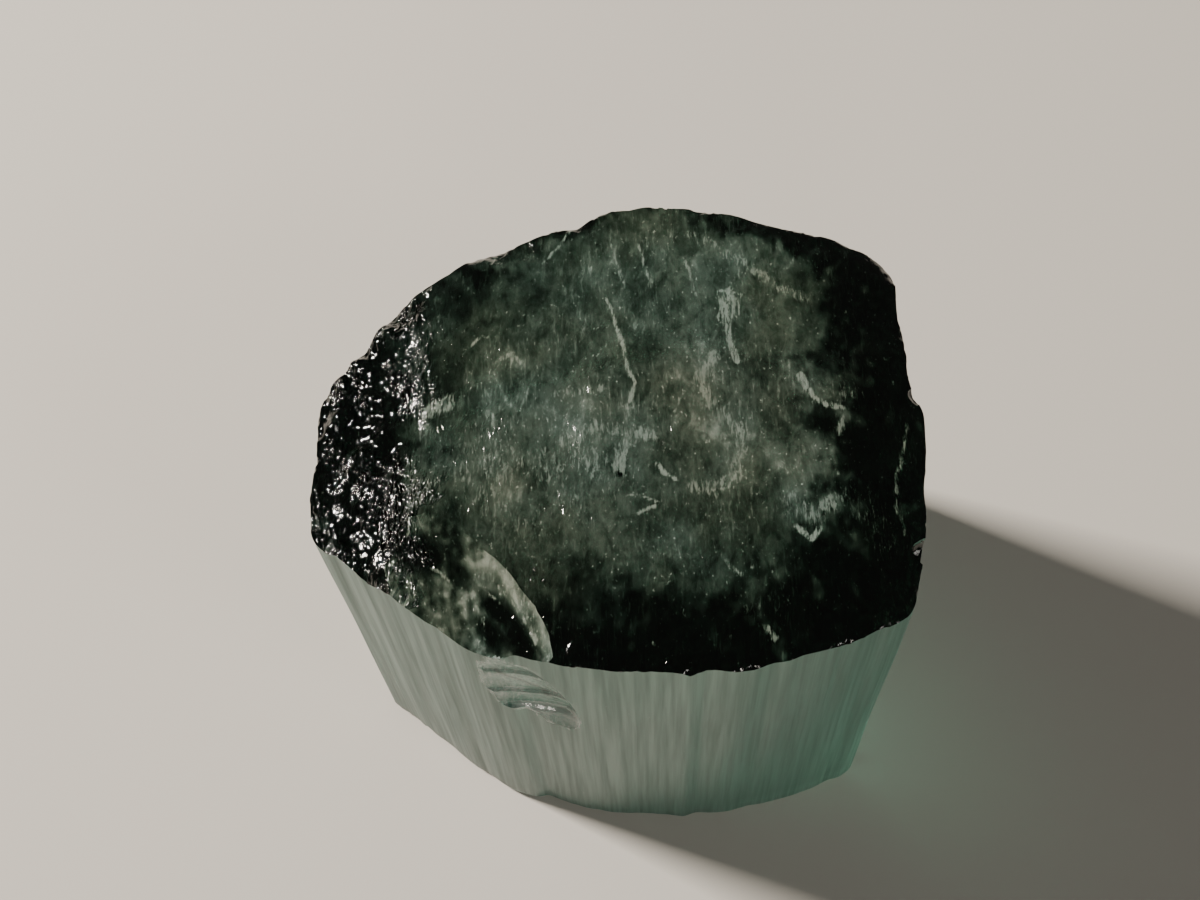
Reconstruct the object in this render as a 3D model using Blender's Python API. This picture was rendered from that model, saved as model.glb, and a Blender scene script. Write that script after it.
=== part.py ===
"""Broken tourmaline crystal: a short, rounded three-sided prism.

The prism stands on a flat base in the XY plane, with its long axis up (+Z).
The origin is the middle of the base. X is the widest way across, and the
conchoidal chip is on the -X -Y side of the broken top. Lengths are written in
millimetres and turned to metres by MM.
"""

import math
import random

import bmesh
import bpy
import numpy as np
from mathutils import Matrix, Vector, noise

MM = 0.001

# Prism outline: (x, y, corner rounding, outward bulge of the side that follows).
CORNERS = (
    (-8.03, 1.20, 0.80, 0.00),
    (-7.95, -3.15, 0.50, 0.00),
    (-3.55, -6.40, 0.90, 0.83),
    (6.90, -5.85, 0.60, 0.00),
    (7.45, -4.20, 0.30, 0.08),
    (7.95, 0.15, 0.30, 0.00),
    (7.62, 0.90, 0.30, 0.00),
    (7.60, 5.10, 1.10, 0.22),
    (0.05, 7.05, 1.50, 0.93),
)
CORNER_STEPS = 8               # points along each rounded corner
SIDE_STEPS = 24                # points along each side
COLUMNS = 150                  # corners round the prism, about 0.3 mm apart

# Heights of the rings up the prism. The lowest ring is drawn in a little,
# because the edge of the base is worn.
BASE_EDGE = 0.08
RING_HEIGHTS = (0.0, 0.15, 3.2, 6.4, 9.6, 14.5)

# Striations: flat strips of uneven width run up the sides, a little in or out.
STRIP_SEED = 11
STRIP_WIDTHS = (0.35, 1.10)
STRIP_DEPTH = 0.11
WANDER = 0.05                  # how far the sides lean in and out on the way up
WANDER_BENDS = (0.5, 0.15)     # bends per mm, round the prism and up it
DEPTH_IN_FRONT = 7.0           # from the middle to the -Y side
FRONT_FLARE = 0.28             # the -Y side stands out this much further at the base

# Broken top: a plateau that slopes off towards the rim.
PLATEAU_HEIGHT = 12.98
# (direction in degrees, distance from the middle where it starts, slope in degrees)
RIM_SLOPES = (
    (-5.0, 5.5, 8.0),
    (-88.0, 5.3, 11.0),
    (187.0, 5.2, 6.0),
    (122.0, 5.7, 15.0),
    (75.0, 6.4, 15.0),
    (35.0, 7.5, 14.0),
)
BREAK_HALF = (9.0, 8.0)        # half the size of the block that is broken off
BREAK_LID = 15.5               # height of the block's upper face
BREAK_CELL = 0.40              # size of the facets of the broken top
# (size of the humps, height of the humps)
BREAK_HUMPS = ((4.5, 0.14), (1.6, 0.09), (0.7, 0.04))
HUMP_SINK = 0.2                # the humps are mostly hollows
ETCH_RELIEF = 0.28             # rough, pitted left tip
ETCH_SINK = 0.35
ETCH_SIZE = 0.6
ETCH_LAYER = 3.0               # picks one of many unlike patterns
ETCH_START = 5.0
ETCH_FULL = 6.4

# Chip and flake: pillow-shaped bites.
CHIP_MIDDLE = (-3.02, -8.35, 13.28)
CHIP_HALF = (6.55, 2.55, 1.10)
CHIP_TURN = (0.0, 0.0, -64.4)
CHIP_SQUARENESS = 2.2

FLAKE_MIDDLE = (-2.95, -6.92, 10.6)
FLAKE_HALF = (1.30, 0.66, 3.3)
FLAKE_TURN = (0.0, -24.0, -2.0)
FLAKE_SQUARENESS = 2.6

# Small nicks along the rim and the base edge: (x, y, z, radius).
NICKS = (
    (7.52, -3.78, 12.4, 0.42),
    (7.80, 0.52, 12.9, 0.36),
    (3.40, -7.12, 13.0, 0.40),
    (0.95, -7.15, 12.85, 0.30),
    (-8.15, -0.90, 12.5, 0.34),
    (4.70, 6.25, 12.95, 0.40),
    (7.35, -5.20, 0.0, 0.50),
    (-6.60, -4.55, 0.0, 0.42),
    (-4.60, 4.90, 0.0, 0.55),
    (3.20, 6.75, 0.0, 0.45),
)
NICK_SHAPE = (0.8, 0.8, 1.2)   # half sizes, in radii
NICK_TILT = 20.0
NICK_SPIN = 40.0               # degrees that a nick is turned for each mm along X
NICK_SQUARENESS = 3.0
CHIP_DETAIL = 4                # subdivisions of the ball each bite starts from
FLAKE_DETAIL = 3
NICK_DETAIL = 2


def clear_scene():
    for found in list(bpy.data.objects):
        bpy.data.objects.remove(found, do_unlink=True)


def outline_path():
    """Close-set points along the outline, counter-clockwise, as an array in mm."""
    count = len(CORNERS)
    ends = [Vector(corner[:2]) for corner in CORNERS]
    path = []
    for i, (_, _, rounding, bulge) in enumerate(CORNERS):
        start = ends[i]
        end = ends[(i + 1) % count]
        before = ends[i - 1]
        along = (end - start).normalized()
        outward = Vector((along.y, -along.x))
        length = (end - start).length
        # Round the corner from the side before to this side.
        corner_in = start + (before - start).normalized() * rounding
        corner_out = start + along * rounding
        for step in range(CORNER_STEPS):
            t = step / CORNER_STEPS
            path.append(corner_in * (1 - t) ** 2 + start * 2 * t * (1 - t) + corner_out * t ** 2)
        # Follow the side to where the next corner starts.
        reach = length - CORNERS[(i + 1) % count][2]
        for step in range(SIDE_STEPS):
            far = rounding + (reach - rounding) * step / SIDE_STEPS
            share = (far - rounding) / (reach - rounding)
            path.append(start + along * far + outward * bulge * 4 * share * (1 - share))
    return np.array([point[:] for point in path])


def even_points(path, count):
    """Points evenly spaced round a closed path, and their distance along it."""
    closed = np.vstack((path, path[:1]))
    steps = np.hypot(*np.diff(closed, axis=0).T)
    run = np.concatenate(((0.0,), np.cumsum(steps)))
    wanted = np.arange(count) * run[-1] / count
    points = np.column_stack([np.interp(wanted, run, closed[:, axis]) for axis in (0, 1)])
    return points, wanted, run[-1]


def strip_offsets(distances, around):
    """How far each column is drawn in, from flat strips of uneven width."""
    dice = random.Random(STRIP_SEED)
    edges = [0.0]
    while edges[-1] < around - STRIP_WIDTHS[1]:
        edges.append(edges[-1] + dice.uniform(*STRIP_WIDTHS))
    depths = [dice.uniform(0.0, STRIP_DEPTH) for _ in edges]
    return np.interp(distances, edges + [around], depths + depths[:1])


def build_prism():
    """The striated prism, taller than the crystal, before it is broken off."""
    points, distances, around = even_points(outline_path(), COLUMNS)
    offsets = strip_offsets(distances, around)
    ahead = np.roll(points, -1, axis=0) - np.roll(points, 1, axis=0)
    inward = np.column_stack((-ahead[:, 1], ahead[:, 0]))
    inward /= np.linalg.norm(inward, axis=1)[:, None]

    bm = bmesh.new()
    column_of = bm.verts.layers.int.new("column")
    ring = bmesh.ops.create_circle(bm, cap_ends=True, segments=COLUMNS, radius=1.0)["verts"]
    for column, vert in enumerate(ring):
        vert[column_of] = column
    cap = bm.faces[:]
    for level, height in enumerate(RING_HEIGHTS):
        if level:
            below = cap
            made = bmesh.ops.extrude_face_region(bm, geom=below)
            cap = [item for item in made["geom"] if isinstance(item, bmesh.types.BMFace)]
            if level > 1:
                bmesh.ops.delete(bm, geom=below, context="FACES")
        drawn_in = 0.0 if level else BASE_EDGE
        for vert in cap[0].verts:
            column = vert[column_of]
            bend = (distances[column] * WANDER_BENDS[0], height * WANDER_BENDS[1], 0.0)
            lean = WANDER * noise.noise(Vector(bend))
            place = points[column] + inward[column] * (offsets[column] + drawn_in + lean)
            flare = FRONT_FLARE * max(0.0, 1.0 - height / PLATEAU_HEIGHT)
            place[1] += flare * min(0.0, place[1]) / DEPTH_IN_FRONT
            vert.co = Vector((place[0], place[1], height)) * MM
    bmesh.ops.recalc_face_normals(bm, faces=bm.faces[:])
    return new_object("tourmaline_crystal", bm)


def top_height(x, y):
    """Height of the broken top over a point of the base, in mm."""
    height = PLATEAU_HEIGHT
    for direction, start, slope in RIM_SLOPES:
        turn = math.radians(direction)
        past = x * math.cos(turn) + y * math.sin(turn) - start
        fallen = PLATEAU_HEIGHT - past * math.tan(math.radians(slope))
        height = min(height, fallen)
    for size, rise in BREAK_HUMPS:
        height += rise * (noise.noise(Vector((x / size, y / size, size))) - HUMP_SINK)
    etched = min(max((-x - ETCH_START) / (ETCH_FULL - ETCH_START), 0.0), 1.0)
    pits = noise.noise(Vector((x / ETCH_SIZE, y / ETCH_SIZE, ETCH_LAYER))) - ETCH_SINK
    return height + ETCH_RELIEF * etched * pits


def build_break():
    """Everything above the broken top."""
    bm = bmesh.new()
    bmesh.ops.create_grid(
        bm,
        x_segments=round(2 * BREAK_HALF[0] / BREAK_CELL),
        y_segments=round(2 * BREAK_HALF[1] / BREAK_CELL),
        size=1.0,
    )
    for vert in bm.verts:
        x = vert.co.x * BREAK_HALF[0]
        y = vert.co.y * BREAK_HALF[1]
        vert.co = Vector((x, y, top_height(x, y))) * MM
    made = bmesh.ops.extrude_face_region(bm, geom=bm.faces[:])
    lid = [item for item in made["geom"] if isinstance(item, bmesh.types.BMVert)]
    for vert in lid:
        vert.co.z = BREAK_LID * MM
    bmesh.ops.recalc_face_normals(bm, faces=bm.faces[:])
    return new_cutter("break_cutter", bm)


def add_pillow(bm, middle, half, turn, squareness, detail):
    """A closed form between an ellipsoid and a box with bowed faces."""
    made = bmesh.ops.create_icosphere(bm, subdivisions=detail, radius=1.0)
    turned = Matrix.Identity(3)
    for axis, angle in zip("XYZ", turn):
        turned = Matrix.Rotation(math.radians(angle), 3, axis) @ turned
    for vert in made["verts"]:
        flat = (abs(vert.co.x) ** squareness + abs(vert.co.y) ** squareness) ** (2 / squareness)
        vert.co /= math.sqrt(flat + vert.co.z ** 2)
        stretched = Vector([vert.co[i] * half[i] for i in range(3)])
        vert.co = (turned @ stretched + Vector(middle)) * MM


def build_bites():
    """The cutters of the chip, the flake and the nicks."""
    chip = bmesh.new()
    add_pillow(chip, CHIP_MIDDLE, CHIP_HALF, CHIP_TURN, CHIP_SQUARENESS, CHIP_DETAIL)
    flake = bmesh.new()
    add_pillow(flake, FLAKE_MIDDLE, FLAKE_HALF, FLAKE_TURN, FLAKE_SQUARENESS, FLAKE_DETAIL)
    nicks = bmesh.new()
    for x, y, z, radius in NICKS:
        half = [radius * share for share in NICK_SHAPE]
        turn = (0.0, NICK_TILT, x * NICK_SPIN)
        add_pillow(nicks, (x, y, z), half, turn, NICK_SQUARENESS, NICK_DETAIL)
    return (
        new_cutter("chip_cutter", chip),
        new_cutter("flake_cutter", flake),
        new_cutter("nick_cutter", nicks),
    )


def new_object(name, bm):
    mesh = bpy.data.meshes.new(name)
    bm.to_mesh(mesh)
    bm.free()
    made = bpy.data.objects.new(name, mesh)
    bpy.context.collection.objects.link(made)
    return made


def new_cutter(name, bm):
    cutter = new_object(name, bm)
    cutter.hide_render = True
    cutter.display_type = "WIRE"
    return cutter


def cut(body, cutter):
    step = body.modifiers.new(cutter.name, "BOOLEAN")
    step.operation = "DIFFERENCE"
    step.solver = "EXACT"
    step.object = cutter


def tourmaline_material():
    """Blue-green tourmaline: clear, glassy and pale through its sides."""
    material = bpy.data.materials.new("tourmaline")
    material.use_nodes = True
    shader = material.node_tree.nodes["Principled BSDF"]
    shader.inputs["Base Color"].default_value = (0.16, 0.30, 0.23, 1.0)
    shader.inputs["Roughness"].default_value = 0.12
    shader.inputs["Metallic"].default_value = 0.0
    shader.inputs["IOR"].default_value = 1.63
    shader.inputs["Transmission Weight"].default_value = 0.85
    return material


def main():
    clear_scene()
    crystal = build_prism()
    crystal.data.materials.append(tourmaline_material())
    cut(crystal, build_break())
    for cutter in build_bites():
        cut(crystal, cutter)


main()
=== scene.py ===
"""Rough crystal of blue-green tourmaline, standing on its flat base.

A short, rounded three-sided prism, broken across the top. Sizes in the
classes are millimetres unless a name says otherwise.
"""
import logging
import math
import random
from dataclasses import dataclass, field
from enum import Enum, IntEnum
from typing import Callable

import bmesh
import bpy
import numpy as np
from mathutils import Matrix, Vector, kdtree, noise


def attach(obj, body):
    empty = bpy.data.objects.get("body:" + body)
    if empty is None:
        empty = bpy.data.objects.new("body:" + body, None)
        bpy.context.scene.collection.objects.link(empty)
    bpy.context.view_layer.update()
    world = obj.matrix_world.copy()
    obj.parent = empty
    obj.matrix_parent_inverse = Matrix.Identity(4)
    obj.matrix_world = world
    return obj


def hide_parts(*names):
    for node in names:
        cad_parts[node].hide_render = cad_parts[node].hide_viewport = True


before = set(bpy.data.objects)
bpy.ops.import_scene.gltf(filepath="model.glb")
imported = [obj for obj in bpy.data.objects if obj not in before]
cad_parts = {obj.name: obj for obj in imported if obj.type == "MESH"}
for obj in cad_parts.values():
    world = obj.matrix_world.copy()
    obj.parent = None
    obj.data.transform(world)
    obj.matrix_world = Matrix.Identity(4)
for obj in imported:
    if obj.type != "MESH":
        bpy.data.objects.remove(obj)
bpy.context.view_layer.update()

MM = 0.001
NODE = "tourmaline_crystal"
BODY = "root"
TOP_ZONE = 11.0               # only the broken end lies above this height, in mm
BROKEN_FACING = 0.15          # how far up a broken face looks, at least
RIM_POINTS = 720              # points that stand for the rim when it is chipped
TINY = 1e-9                   # keeps a length that is divided by above 0

# Sockets of the Mix node that share a name with others, by their numbers.
MIX_A, MIX_B = 2, 3
MIX_COLOUR_A, MIX_COLOUR_B, MIX_COLOUR_OUT = 6, 7, 2

Socket = bpy.types.NodeSocket
Tree = bpy.types.NodeTree
Span = tuple[float, float]    # where a rise starts and where it ends, or least and most
Spot = tuple[float, float]    # x and y, in mm

log = logging.getLogger("tourmaline")


# ---------------------------------------------------------------- helpers


def linear(code: str) -> tuple[float, float, float, float]:
    """Turns an sRGB hex colour to the linear colour that shaders take.

    Args:
        code: six hex digits, such as "8fa39a".

    Returns:
        Red, green, blue and an alpha of 1.
    """
    parts = [int(code[i:i + 2], 16) / 255 for i in (0, 2, 4)]
    bright = [p / 12.92 if p <= 0.04045 else ((p + 0.055) / 1.055) ** 2.4 for p in parts]
    return (bright[0], bright[1], bright[2], 1.0)


def bump_curve(value: float, low: float, high: float) -> float:
    """Rises smoothly from 0 at low to 1 at high.

    Args:
        value: what is tested.
        low: where the rise starts.
        high: where it ends. It may be below low, for a fall.

    Returns:
        A share from 0 to 1.
    """
    share = min(max((value - low) / (high - low), 0.0), 1.0)
    return share * share * (3.0 - 2.0 * share)


@dataclass(frozen=True)
class Grain:
    """Smooth noise on a surface: how wide and long its humps are, in mm, and how strong it is."""

    width: float
    length: float
    layer: float
    strength: float = 1.0

    def at(self, x: float, y: float) -> float:
        """Its value there, from about -strength to strength."""
        return self.strength * noise.noise(Vector((x / self.width, y / self.length, self.layer)))


def summed(grains: tuple[Grain, ...], x: float, y: float) -> float:
    """All the grains' values there, added up."""
    return sum(grain.at(x, y) for grain in grains)


@dataclass(frozen=True)
class Oval:
    """A patch of the broken end that fades out from inner to outer, as shares of its half sizes."""

    middle: Spot
    half: Spot
    outer: float
    inner: float = 0.5

    def share(self, x: float, y: float) -> float:
        """1 well inside the patch and 0 outside it."""
        out = math.hypot((x - self.middle[0]) / self.half[0], (y - self.middle[1]) / self.half[1])
        return bump_curve(out, self.outer, self.inner)


def turn_matrix(angles: tuple[float, float, float]) -> Matrix:
    """A turn about X, then Y, then Z, by angles in degrees."""
    turned = Matrix.Identity(4)
    for axis, angle in zip("XYZ", angles):
        turned = Matrix.Rotation(math.radians(angle), 4, axis) @ turned
    return turned


def link_piece(name: str, bm: bmesh.types.BMesh) -> bpy.types.Object:
    """Makes an object of a bmesh and frees the bmesh.

    Args:
        name: the object's name.
        bm: its shape, in metres.

    Returns:
        The new object, at the origin.
    """
    mesh = bpy.data.meshes.new(name)
    bm.to_mesh(mesh)
    bm.free()
    piece = bpy.data.objects.new(name, mesh)
    bpy.context.collection.objects.link(piece)
    return piece


# ---------------------------------------------------------------- shape


@dataclass(frozen=True)
class Corner:
    """A corner of the prism's outline and the side that follows it."""

    x: float
    y: float
    rounding: float
    bulge: float = 0.0


@dataclass
class Outline:
    """The prism's outline, counter-clockwise, with bowed sides."""

    corners: tuple[Corner, ...] = (
        Corner(-8.03, 1.20, 0.80),
        Corner(-7.95, -3.15, 0.50),
        Corner(-3.55, -6.40, 0.90, 0.83),
        Corner(6.90, -5.85, 0.60),
        Corner(7.45, -4.20, 0.30, 0.08),
        Corner(7.95, 0.15, 0.30),
        Corner(7.62, 0.90, 0.30),
        Corner(7.60, 5.10, 1.10, 0.22),
        Corner(0.05, 7.05, 1.50, 0.93),
    )
    corner_steps: int = 8
    side_steps: int = 24

    def path(self) -> np.ndarray:
        """Close-set points along the outline, one row of x and y each."""
        points: list[Vector] = []
        count = len(self.corners)
        ends = [Vector((corner.x, corner.y)) for corner in self.corners]
        for i, corner in enumerate(self.corners):
            start, end = ends[i], ends[(i + 1) % count]
            along = (end - start).normalized()
            outward = Vector((along.y, -along.x))
            enter = start + (ends[i - 1] - start).normalized() * corner.rounding
            leave = start + along * corner.rounding
            for step in range(self.corner_steps):
                t = step / self.corner_steps
                points.append(enter * (1 - t) ** 2 + start * 2 * t * (1 - t) + leave * t ** 2)
            run = (end - start).length - corner.rounding - self.corners[(i + 1) % count].rounding
            for step in range(self.side_steps):
                share = step / self.side_steps
                bow = corner.bulge * 4 * share * (1 - share)
                points.append(leave + along * run * share + outward * bow)
        return np.array([point[:] for point in points])

    def columns(self, count: int) -> tuple[np.ndarray, np.ndarray, float]:
        """Spaces points evenly round the outline.

        Args:
            count: how many points.

        Returns:
            The points, how far along the outline each lies, and its length.
        """
        path = self.path()
        closed = np.vstack((path, path[:1]))
        run = np.concatenate(((0.0,), np.cumsum(np.hypot(*np.diff(closed, axis=0).T))))
        wanted = np.arange(count) * run[-1] / count
        points = np.column_stack([np.interp(wanted, run, closed[:, i]) for i in (0, 1)])
        return points, wanted, float(run[-1])


@dataclass
class Striations:
    """Flat strips that run up the sides, each a little in or out.

    Coarse strips are those of the solid. Fine ones lie on them and fade in
    and out. Grains lie along the outline, and then up the side.
    """

    seed: int = 11
    coarse_widths: Span = (0.35, 1.10)
    coarse_depth: float = 0.11
    fine_seed: int = 12
    fine_widths: Span = (0.05, 0.30)
    fine_depth: float = 0.022
    wander: Grain = Grain(2.0, 20 / 3, 0.0, 0.05)
    waver: Grain = Grain(1 / 2.2, 1 / 0.22, 5.0, 0.012)
    fading: Grain = Grain(1 / 1.3, 5.0, 9.0, 0.75)
    fading_middle: float = 0.75

    def strips(self, seed: int, widths: Span, depth: float,
               along: np.ndarray, around: float) -> np.ndarray:
        """How far each column is drawn in by strips of uneven width.

        Args:
            seed: fixes the widths and depths.
            widths: least and most width of a strip.
            depth: most that a strip is drawn in.
            along: where each column is on the outline.
            around: the outline's length.

        Returns:
            One distance for each column.
        """
        dice = random.Random(seed)
        edges = [0.0]
        while edges[-1] < around - widths[1]:
            edges.append(edges[-1] + dice.uniform(*widths))
        depths = [dice.uniform(0.0, depth) for _ in edges]
        return np.interp(along, edges + [around], depths + depths[:1])


@dataclass(frozen=True)
class Slope:
    """A part of the broken top that falls off towards the rim.

    Its direction is in degrees from +X to +Y, it starts so far from the
    middle, and it falls at an angle in degrees.
    """

    direction: float
    start: float
    angle: float


@dataclass
class BrokenTop:
    """The height of the broken top over each point of the base."""

    plateau: float = 12.98
    slopes: tuple[Slope, ...] = (
        Slope(-5.0, 5.5, 8.0),
        Slope(-88.0, 5.3, 11.0),
        Slope(187.0, 5.2, 6.0),
        Slope(122.0, 5.7, 15.0),
        Slope(75.0, 6.4, 15.0),
        Slope(35.0, 7.5, 14.0),
    )
    # The creases between the slopes wander, and humps and small lumps lie on them.
    creases: tuple[Grain, ...] = (Grain(1.5, 1.5, 131.0, 0.6), Grain(0.5, 0.5, 133.0, 0.25))
    humps: tuple[Grain, ...] = (
        Grain(4.5, 4.5, 4.5, 0.14), Grain(1.6, 1.6, 1.6, 0.09), Grain(0.7, 0.7, 0.7, 0.04))
    hump_sink: float = 0.2
    ripple: Grain = Grain(0.34, 0.42, 31.0, 0.008)
    lumpy: Grain = Grain(1.9, 1.7, 35.0)
    lumpy_span: Span = (0.1, 0.45)
    lumps: Grain = Grain(0.42, 0.36, 37.0, 0.030)

    # Fine grooves along Y, left of the middle.
    streaky: Oval = Oval((-1.8, -1.5), (3.2, 2.3), 1.2)
    streaks: Grain = Grain(0.18, 0.95, 21.0)
    streak_lean: float = 0.25
    streak_width: float = 0.30
    streak_depth: float = 0.040

    # The left tip is etched and splintered.
    tip_span: Span = (5.0, 6.4)
    pits: Grain = Grain(0.6, 0.6, 3.0, 0.28)
    pit_sink: float = 0.35
    torn_span: Span = (5.4, 6.7)
    chunks: tuple[Grain, ...] = (Grain(0.22, 0.42, 51.0, 0.11), Grain(0.13, 0.22, 53.0, 0.055))

    # Small chips along the rim, fewer at the tip.
    rim_width: float = 0.26
    rim_drop: float = 0.13
    rim_share: float = 0.10
    rim_bites: tuple[Grain, ...] = (Grain(0.95, 0.95, 121.0, 1.6), Grain(0.21, 0.21, 123.0, 0.6))
    rim_depth: Grain = Grain(0.3, 0.3, 125.0, 0.8)
    rim_least: float = 0.6
    rim_calm_tip: float = 0.6
    rim: kdtree.KDTree = field(init=False, repr=False)

    def __post_init__(self) -> None:
        """Notes where the rim runs, so that it can be chipped."""
        points, _, _ = Outline().columns(RIM_POINTS)
        self.rim = kdtree.KDTree(len(points))
        for index, (x, y) in enumerate(points):
            self.rim.insert((x, y, 0.0), index)
        self.rim.balance()

    def rim_chips(self, x: float, y: float) -> float:
        """How deep the small chips along the rim are there, in mm."""
        _, _, inward = self.rim.find((x, y, 0.0))
        bitten = self.rim_share + summed(self.rim_bites, x, y)
        reach = self.rim_width * (1.0 - self.rim_calm_tip * self.tip(x)) * bitten
        if inward >= reach:
            return 0.0
        deep = self.rim_least + abs(self.rim_depth.at(x, y))
        return self.rim_drop * (1.0 - inward / reach) * deep

    def tip(self, x: float) -> float:
        """Share of the pitted look of the left tip, from 0 to 1."""
        start, full = self.tip_span
        return min(max((-x - start) / (full - start), 0.0), 1.0)

    def main_height(self, x: float, y: float) -> float:
        """Height of the solid's own facets there, in mm."""
        height = self.plateau
        wander = summed(self.creases, x, y)
        for slope in self.slopes:
            turn = math.radians(slope.direction)
            past = x * math.cos(turn) + y * math.sin(turn) - slope.start + wander
            height = min(height, self.plateau - past * math.tan(math.radians(slope.angle)))
        for hump in self.humps:
            height += hump.at(x, y) - hump.strength * self.hump_sink
        return height + self.tip(x) * (self.pits.at(x, y) - self.pits.strength * self.pit_sink)

    def height(self, x: float, y: float) -> float:
        """Height with the fine relief: streaks, pits and small steps."""
        height = self.main_height(x, y) + self.ripple.at(x, y)
        streaks = abs(self.streaks.at(x + self.streak_lean * y, y))
        height -= self.streak_depth * self.streaky.share(x, y) * max(0.0, self.streak_width - streaks)
        height += bump_curve(self.lumpy.at(x, y), *self.lumpy_span) * abs(self.lumps.at(x, y))
        chunks = sum(abs(chunk.at(x, y)) for chunk in self.chunks)
        return height - bump_curve(-x, *self.torn_span) * chunks - self.rim_chips(x, y)


@dataclass
class Sheet:
    """A cutter: a grid bent along its own Z, and all that lies beyond it."""

    name: str
    middle: tuple[float, float, float]
    turn: tuple[float, float, float]
    low: Spot
    high: Spot
    cell: float
    depth: Callable[[float, float], float]
    lid: float

    def build(self) -> bpy.types.Object:
        """Builds the closed cutter and returns it."""
        bm = bmesh.new()
        width = self.high[0] - self.low[0]
        length = self.high[1] - self.low[1]
        bmesh.ops.create_grid(
            bm,
            x_segments=round(width / self.cell),
            y_segments=round(length / self.cell),
            size=0.5,
        )
        for vert in bm.verts:
            across = self.low[0] + (vert.co.x + 0.5) * width
            along = self.low[1] + (vert.co.y + 0.5) * length
            vert.co = Vector((across, along, self.depth(across, along)))
        made = bmesh.ops.extrude_face_region(bm, geom=bm.faces[:])
        for item in made["geom"]:
            if isinstance(item, bmesh.types.BMVert):
                item.co.z = self.lid
        place = Matrix.Scale(MM, 4) @ Matrix.Translation(self.middle) @ turn_matrix(self.turn)
        bmesh.ops.transform(bm, matrix=place, verts=bm.verts)
        bmesh.ops.recalc_face_normals(bm, faces=bm.faces[:])
        return link_piece(self.name, bm)


@dataclass
class Chip:
    """The shell-shaped chip at the front left of the top.

    It is a bowl that is squarer than round, with its own axes across and along it.
    """

    middle: Spot = (-3.02, -8.35)
    level: float = 13.28
    half: tuple[float, float, float] = (6.55, 2.55, 1.10)
    turn: float = -64.4
    squareness: float = 2.2
    ripples: float = 46.0
    ripple_height: float = 0.012
    ripple_bend: Grain = Grain(1.2, 1.2, 61.0, 1.5)
    floor_grain: Grain = Grain(0.9, 0.5, 63.0, 0.05)
    cell: float = 0.07
    slack: float = 0.02
    margin: float = 0.2
    reach: float = 2.8
    headroom: float = 2.0

    def own_axes(self, x: float, y: float) -> tuple[float, float]:
        """Turns a place on the crystal to one on the chip's own axes."""
        turn = math.radians(self.turn)
        right, up = x - self.middle[0], y - self.middle[1]
        return (right * math.cos(turn) + up * math.sin(turn),
                up * math.cos(turn) - right * math.sin(turn))

    def out_at(self, across: float, along: float) -> float:
        """How far out in the chip that point lies, 1 at its edge."""
        p = self.squareness
        return (abs(across / self.half[0]) ** p + abs(along / self.half[1]) ** p) ** (1 / p)

    def holds(self, x: float, y: float, z: float, top: BrokenTop) -> bool:
        """True of a point on the chip's floor or wall, and not on the top beside it.

        Args:
            x: place across, in mm.
            y: place along, in mm.
            z: height, in mm.
            top: the broken top that the chip is cut from.

        Returns:
            Whether the point is the chip's.
        """
        across, along = self.own_axes(x, y)
        if self.out_at(across, along) >= 1.0:
            return False
        off = abs(z - self.depth(across, along))
        return off < self.slack and off < abs(z - top.height(x, y))

    def depth(self, across: float, along: float) -> float:
        """Height of the chip's floor over its own axes, with its ripples."""
        out = self.out_at(across, along)
        if out >= 1.0:
            return self.level + (out - 1.0)
        floor = self.level - self.half[2] * math.sqrt(1.0 - out * out)
        floor += self.ripple_height * math.sin(out * self.ripples + self.ripple_bend.at(across, along))
        return floor + self.floor_grain.at(across, along) * (1.0 - out)

    def sheet(self) -> Sheet:
        """The chip's cutter."""
        wide, long, _ = (half + self.margin for half in self.half)
        return Sheet(
            "chip_cutter", (*self.middle, 0.0), (0.0, 0.0, self.turn), (-wide, -long), (self.reach, long),
            self.cell, self.depth, self.level + self.headroom,
        )


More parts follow.
